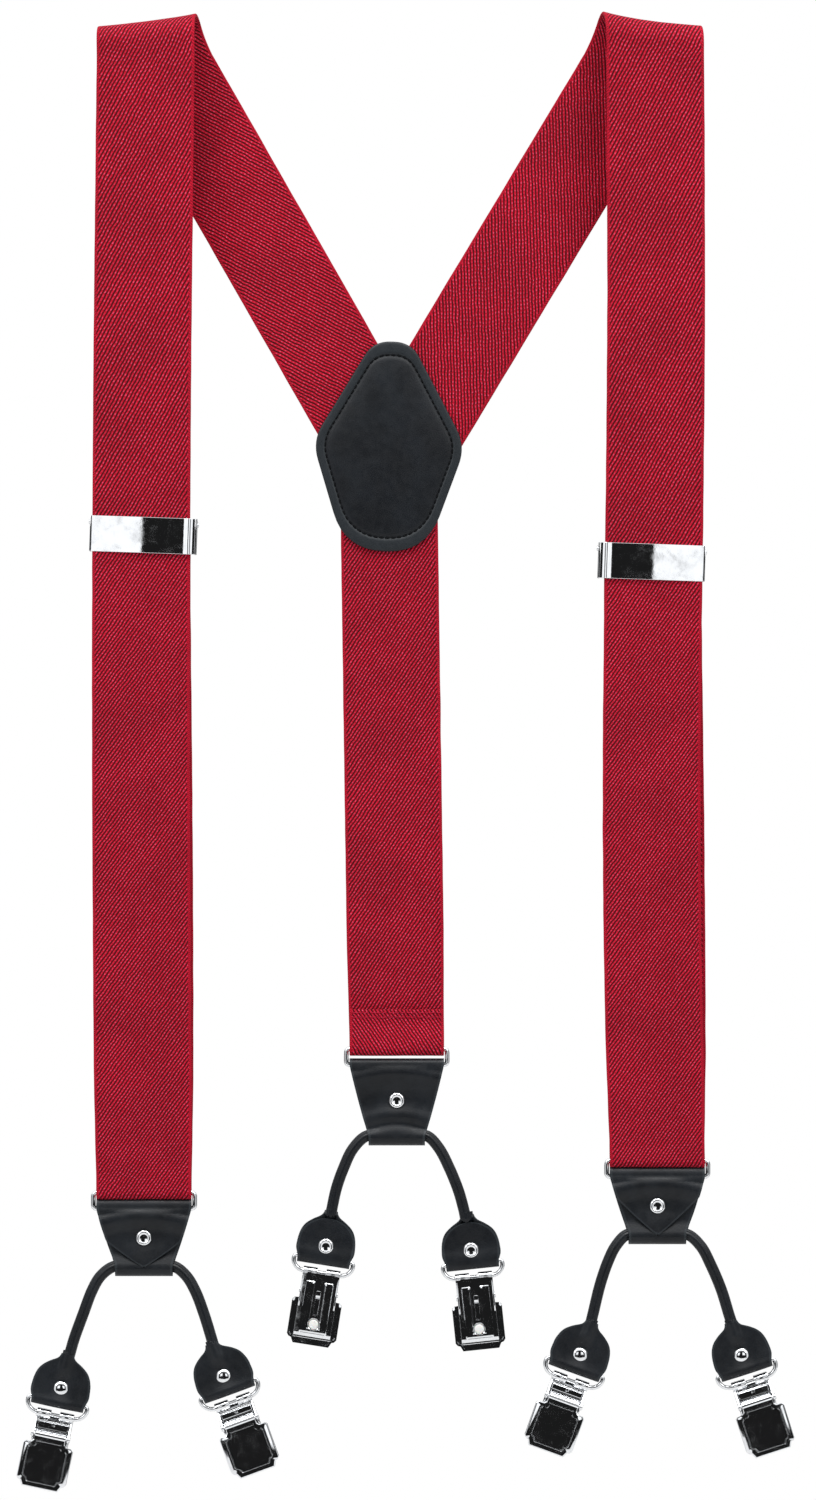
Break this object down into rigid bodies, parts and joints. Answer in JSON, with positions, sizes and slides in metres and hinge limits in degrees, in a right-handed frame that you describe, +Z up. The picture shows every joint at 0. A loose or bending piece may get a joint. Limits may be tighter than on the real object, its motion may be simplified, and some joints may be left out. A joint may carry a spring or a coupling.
{
  "type": "suspenders",
  "caption": "Y-back elastic suspenders with leather crosspatch, slide adjusters, corded leather ends and hinged metal waistband clips.",
  "frame": {"origin": "centre of the bar that both shoulder loops hang on, midway between them", "axes": "+Z up, +X to the right seen from the front, -Y the outer face of the front straps"},
  "size_m": [0.2754, 0.0188, 0.5241],
  "materials": {
    "crimson_elastic": "twill elastic webbing",
    "black_leather": "smooth satin",
    "polished_nickel": "mirror polished",
    "white_nylon": "smooth"
  },
  "bodies": {
    "yoke": {"left_shoulder_strap": "crimson_elastic", "right_shoulder_strap": "crimson_elastic", "back_strap": "crimson_elastic", "patch_outer_leather": "black_leather", "patch_inner_leather": "black_leather"},
    "left_adjuster": {"left_slider_frame": "polished_nickel"},
    "left_adjuster_lever": {"left_slider_lever": "polished_nickel"},
    "left_loop": {"left_adjusting_loop": "crimson_elastic"},
    "right_adjuster": {"right_slider_frame": "polished_nickel"},
    "right_adjuster_lever": {"right_slider_lever": "polished_nickel"},
    "right_loop": {"right_adjusting_loop": "crimson_elastic"},
    "left_ring": {"left_strap_ring": "polished_nickel"},
    "left_tab": {"left_leather_tab": "black_leather", "left_tab_rivet": "polished_nickel"},
    "left_cord": {"left_clip_cord": "black_leather", "left_outer_cord_rivet": "polished_nickel", "left_inner_cord_rivet": "polished_nickel"},
    "left_outer_d_ring_link": {"left_outer_d_ring": "polished_nickel"},
    "left_outer_clip": {"left_outer_clip_base": "polished_nickel"},
    "left_outer_lever": {"left_outer_clip_lever": "polished_nickel"},
    "left_outer_jaw": {"left_outer_clip_jaw": "polished_nickel", "left_outer_clip_pad": "white_nylon"},
    "left_inner_d_ring_link": {"left_inner_d_ring": "polished_nickel"},
    "left_inner_clip": {"left_inner_clip_base": "polished_nickel"},
    "left_inner_lever": {"left_inner_clip_lever": "polished_nickel"},
    "left_inner_jaw": {"left_inner_clip_jaw": "polished_nickel", "left_inner_clip_pad": "white_nylon"},
    "right_ring": {"right_strap_ring": "polished_nickel"},
    "right_tab": {"right_leather_tab": "black_leather", "right_tab_rivet": "polished_nickel"},
    "right_cord": {"right_clip_cord": "black_leather", "right_inner_cord_rivet": "polished_nickel", "right_outer_cord_rivet": "polished_nickel"},
    "right_inner_d_ring_link": {"right_inner_d_ring": "polished_nickel"},
    "right_inner_clip": {"right_inner_clip_base": "polished_nickel"},
    "right_inner_lever": {"right_inner_clip_lever": "polished_nickel"},
    "right_inner_jaw": {"right_inner_clip_jaw": "polished_nickel", "right_inner_clip_pad": "white_nylon"},
    "right_outer_d_ring_link": {"right_outer_d_ring": "polished_nickel"},
    "right_outer_clip": {"right_outer_clip_base": "polished_nickel"},
    "right_outer_lever": {"right_outer_clip_lever": "polished_nickel"},
    "right_outer_jaw": {"right_outer_clip_jaw": "polished_nickel", "right_outer_clip_pad": "white_nylon"},
    "back_ring": {"back_strap_ring": "polished_nickel"},
    "back_tab": {"back_leather_tab": "black_leather", "back_tab_rivet": "polished_nickel"},
    "back_cord": {"back_clip_cord": "black_leather", "back_left_cord_rivet": "polished_nickel", "back_right_cord_rivet": "polished_nickel"},
    "back_left_d_ring_link": {"back_left_d_ring": "polished_nickel"},
    "back_left_clip": {"back_left_clip_base": "polished_nickel"},
    "back_left_lever": {"back_left_clip_lever": "polished_nickel"},
    "back_left_jaw": {"back_left_clip_jaw": "polished_nickel", "back_left_clip_pad": "white_nylon"},
    "back_right_d_ring_link": {"back_right_d_ring": "polished_nickel"},
    "back_right_clip": {"back_right_clip_base": "polished_nickel"},
    "back_right_lever": {"back_right_clip_lever": "polished_nickel"},
    "back_right_jaw": {"back_right_clip_jaw": "polished_nickel", "back_right_clip_pad": "white_nylon"}
  },
  "joints": [
    {"name": "left_adjust", "type": "slide", "parent": "yoke", "child": "left_adjuster", "axis": [0.004, 0, 1], "range_m": [-0.1, 0.1]},
    {"name": "left_loop_length", "type": "slide", "parent": "yoke", "child": "left_loop", "axis": [0, 0, 1], "range_m": [-0.05, 0.05], "deforming": ["left_adjusting_loop"]},
    {"name": "left_adjuster_lock", "type": "hinge", "parent": "left_adjuster", "child": "left_adjuster_lever", "pos_m": [-0.09135, -0.0048, -0.17075], "axis": [0.9994, 0, -0.0349], "range_deg": [0, 80]},
    {"name": "right_adjust", "type": "slide", "parent": "yoke", "child": "right_adjuster", "axis": [0.0078, 0, 1], "range_m": [-0.1, 0.1]},
    {"name": "right_loop_length", "type": "slide", "parent": "yoke", "child": "right_loop", "axis": [0, 0, 1], "range_m": [-0.05, 0.05], "deforming": ["right_adjusting_loop"]},
    {"name": "right_adjuster_lock", "type": "hinge", "parent": "right_adjuster", "child": "right_adjuster_lever", "pos_m": [0.08981, -0.0048, -0.18025], "axis": [0.9994, 0, -0.0349], "range_deg": [0, 80]},
    {"name": "left_ring_swing", "type": "hinge", "parent": "left_loop", "child": "left_ring", "pos_m": [-0.0906, -0.0052, -0.4076], "axis": [1, 0, 0], "range_deg": [-25, 25]},
    {"name": "left_tab_swing", "type": "hinge", "parent": "left_ring", "child": "left_tab", "pos_m": [-0.0906, -0.0052, -0.4132], "axis": [1, 0, 0], "range_deg": [-35, 35]},
    {"name": "left_cord_swing", "type": "hinge", "parent": "left_tab", "child": "left_cord", "pos_m": [-0.0906, -0.0052, -0.43375], "axis": [1, 0, 0], "range_deg": [-25, 25]},
    {"name": "left_outer_d_ring_swing", "type": "hinge", "parent": "left_cord", "child": "left_outer_d_ring_link", "pos_m": [-0.12096, -0.0052, -0.48147], "axis": [0.9781, 0, -0.2079], "range_deg": [-30, 30]},
    {"name": "left_outer_clip_swing", "type": "hinge", "parent": "left_outer_d_ring_link", "child": "left_outer_clip", "pos_m": [-0.12202, -0.0052, -0.48646], "axis": [0.9781, 0, -0.2079], "range_deg": [-35, 35]},
    {"name": "left_outer_lever_open", "type": "hinge", "parent": "left_outer_clip", "child": "left_outer_lever", "pos_m": [-0.12352, -0.0081, -0.4935], "axis": [-0.9781, 0, 0.2079], "range_deg": [0, 110]},
    {"name": "left_outer_jaw_open", "type": "hinge", "parent": "left_outer_clip", "child": "left_outer_jaw", "pos_m": [-0.12256, -0.0057, -0.489], "axis": [-0.9781, 0, 0.2079], "range_deg": [0, 10]},
    {"name": "left_inner_d_ring_swing", "type": "hinge", "parent": "left_cord", "child": "left_inner_d_ring_link", "pos_m": [-0.06082, -0.0052, -0.47699], "axis": [0.9397, 0, 0.342], "range_deg": [-30, 30]},
    {"name": "left_inner_clip_swing", "type": "hinge", "parent": "left_inner_d_ring_link", "child": "left_inner_clip", "pos_m": [-0.05908, -0.0052, -0.48178], "axis": [0.9397, 0, 0.342], "range_deg": [-35, 35]},
    {"name": "left_inner_lever_open", "type": "hinge", "parent": "left_inner_clip", "child": "left_inner_lever", "pos_m": [-0.05661, -0.0081, -0.48855], "axis": [-0.9397, 0, -0.342], "range_deg": [0, 110]},
    {"name": "left_inner_jaw_open", "type": "hinge", "parent": "left_inner_clip", "child": "left_inner_jaw", "pos_m": [-0.05819, -0.0057, -0.48423], "axis": [-0.9397, 0, -0.342], "range_deg": [0, 10]},
    {"name": "right_ring_swing", "type": "hinge", "parent": "right_loop", "child": "right_ring", "pos_m": [0.091, -0.0052, -0.3963], "axis": [1, 0, 0], "range_deg": [-25, 25]},
    {"name": "right_tab_swing", "type": "hinge", "parent": "right_ring", "child": "right_tab", "pos_m": [0.091, -0.0052, -0.4019], "axis": [1, 0, 0], "range_deg": [-35, 35]},
    {"name": "right_cord_swing", "type": "hinge", "parent": "right_tab", "child": "right_cord", "pos_m": [0.091, -0.0052, -0.42245], "axis": [1, 0, 0], "range_deg": [-25, 25]},
    {"name": "right_inner_d_ring_swing", "type": "hinge", "parent": "right_cord", "child": "right_inner_d_ring_link", "pos_m": [0.06202, -0.0052, -0.46939], "axis": [0.9397, 0, -0.342], "range_deg": [-30, 30]},
    {"name": "right_inner_clip_swing", "type": "hinge", "parent": "right_inner_d_ring_link", "child": "right_inner_clip", "pos_m": [0.06028, -0.0052, -0.47418], "axis": [0.9397, 0, -0.342], "range_deg": [-35, 35]},
    {"name": "right_inner_lever_open", "type": "hinge", "parent": "right_inner_clip", "child": "right_inner_lever", "pos_m": [0.05781, -0.0081, -0.48095], "axis": [-0.9397, 0, 0.342], "range_deg": [0, 110]},
    {"name": "right_inner_jaw_open", "type": "hinge", "parent": "right_inner_clip", "child": "right_inner_jaw", "pos_m": [0.05939, -0.0057, -0.47663], "axis": [-0.9397, 0, 0.342], "range_deg": [0, 10]},
    {"name": "right_outer_d_ring_swing", "type": "hinge", "parent": "right_cord", "child": "right_outer_d_ring_link", "pos_m": [0.12223, -0.0052, -0.46964], "axis": [0.9511, 0, 0.309], "range_deg": [-30, 30]},
    {"name": "right_outer_clip_swing", "type": "hinge", "parent": "right_outer_d_ring_link", "child": "right_outer_clip", "pos_m": [0.1238, -0.0052, -0.47449], "axis": [0.9511, 0, 0.309], "range_deg": [-35, 35]},
    {"name": "right_outer_lever_open", "type": "hinge", "parent": "right_outer_clip", "child": "right_outer_lever", "pos_m": [0.12603, -0.0081, -0.48134], "axis": [-0.9511, 0, -0.309], "range_deg": [0, 110]},
    {"name": "right_outer_jaw_open", "type": "hinge", "parent": "right_outer_clip", "child": "right_outer_jaw", "pos_m": [0.12461, -0.0057, -0.47697], "axis": [-0.9511, 0, -0.309], "range_deg": [0, 10]},
    {"name": "back_ring_swing", "type": "hinge", "parent": "yoke", "child": "back_ring", "pos_m": [-0.0012, 0.0052, -0.3573], "axis": [-1, 0, 0], "range_deg": [-25, 25]},
    {"name": "back_tab_swing", "type": "hinge", "parent": "back_ring", "child": "back_tab", "pos_m": [-0.0012, 0.0052, -0.3629], "axis": [-1, 0, 0], "range_deg": [-35, 35]},
    {"name": "back_cord_swing", "type": "hinge", "parent": "back_tab", "child": "back_cord", "pos_m": [-0.0012, 0.0052, -0.38825], "axis": [-1, 0, 0], "range_deg": [-25, 25]},
    {"name": "back_left_d_ring_swing", "type": "hinge", "parent": "back_cord", "child": "back_left_d_ring_link", "pos_m": [-0.02712, 0.0052, -0.43201], "axis": [-0.9877, 0, 0.1564], "range_deg": [-30, 30]},
    {"name": "back_left_clip_swing", "type": "hinge", "parent": "back_left_d_ring_link", "child": "back_left_clip", "pos_m": [-0.02792, 0.0052, -0.43705], "axis": [-0.9877, 0, 0.1564], "range_deg": [-35, 35]},
    {"name": "back_left_lever_open", "type": "hinge", "parent": "back_left_clip", "child": "back_left_lever", "pos_m": [-0.02905, 0.0081, -0.44416], "axis": [0.9877, 0, -0.1564], "range_deg": [0, 110]},
    {"name": "back_left_jaw_open", "type": "hinge", "parent": "back_left_clip", "child": "back_left_jaw", "pos_m": [-0.02833, 0.0057, -0.43962], "axis": [0.9877, 0, -0.1564], "range_deg": [0, 10]},
    {"name": "back_right_d_ring_swing", "type": "hinge", "parent": "back_cord", "child": "back_right_d_ring_link", "pos_m": [0.02568, 0.0052, -0.43345], "axis": [-0.9945, 0, -0.1045], "range_deg": [-30, 30]},
    {"name": "back_right_clip_swing", "type": "hinge", "parent": "back_right_d_ring_link", "child": "back_right_clip", "pos_m": [0.02622, 0.0052, -0.43852], "axis": [-0.9945, 0, -0.1045], "range_deg": [-35, 35]},
    {"name": "back_right_lever_open", "type": "hinge", "parent": "back_right_clip", "child": "back_right_lever", "pos_m": [0.02697, 0.0081, -0.44568], "axis": [0.9945, 0, 0.1045], "range_deg": [0, 110]},
    {"name": "back_right_jaw_open", "type": "hinge", "parent": "back_right_clip", "child": "back_right_jaw", "pos_m": [0.02649, 0.0057, -0.4411], "axis": [0.9945, 0, 0.1045], "range_deg": [0, 10]}
  ],
  "couplings": [
    {"joint": "left_loop_length", "follows": "left_adjust", "ratio": 0.5},
    {"joint": "right_loop_length", "follows": "right_adjust", "ratio": 0.5},
    {"joint": "left_outer_jaw_open", "follows": "left_outer_lever_open", "ratio": 0.090909},
    {"joint": "left_inner_jaw_open", "follows": "left_inner_lever_open", "ratio": 0.090909},
    {"joint": "right_inner_jaw_open", "follows": "right_inner_lever_open", "ratio": 0.090909},
    {"joint": "right_outer_jaw_open", "follows": "right_outer_lever_open", "ratio": 0.090909},
    {"joint": "back_left_jaw_open", "follows": "back_left_lever_open", "ratio": 0.090909},
    {"joint": "back_right_jaw_open", "follows": "back_right_lever_open", "ratio": 0.090909}
  ]
}
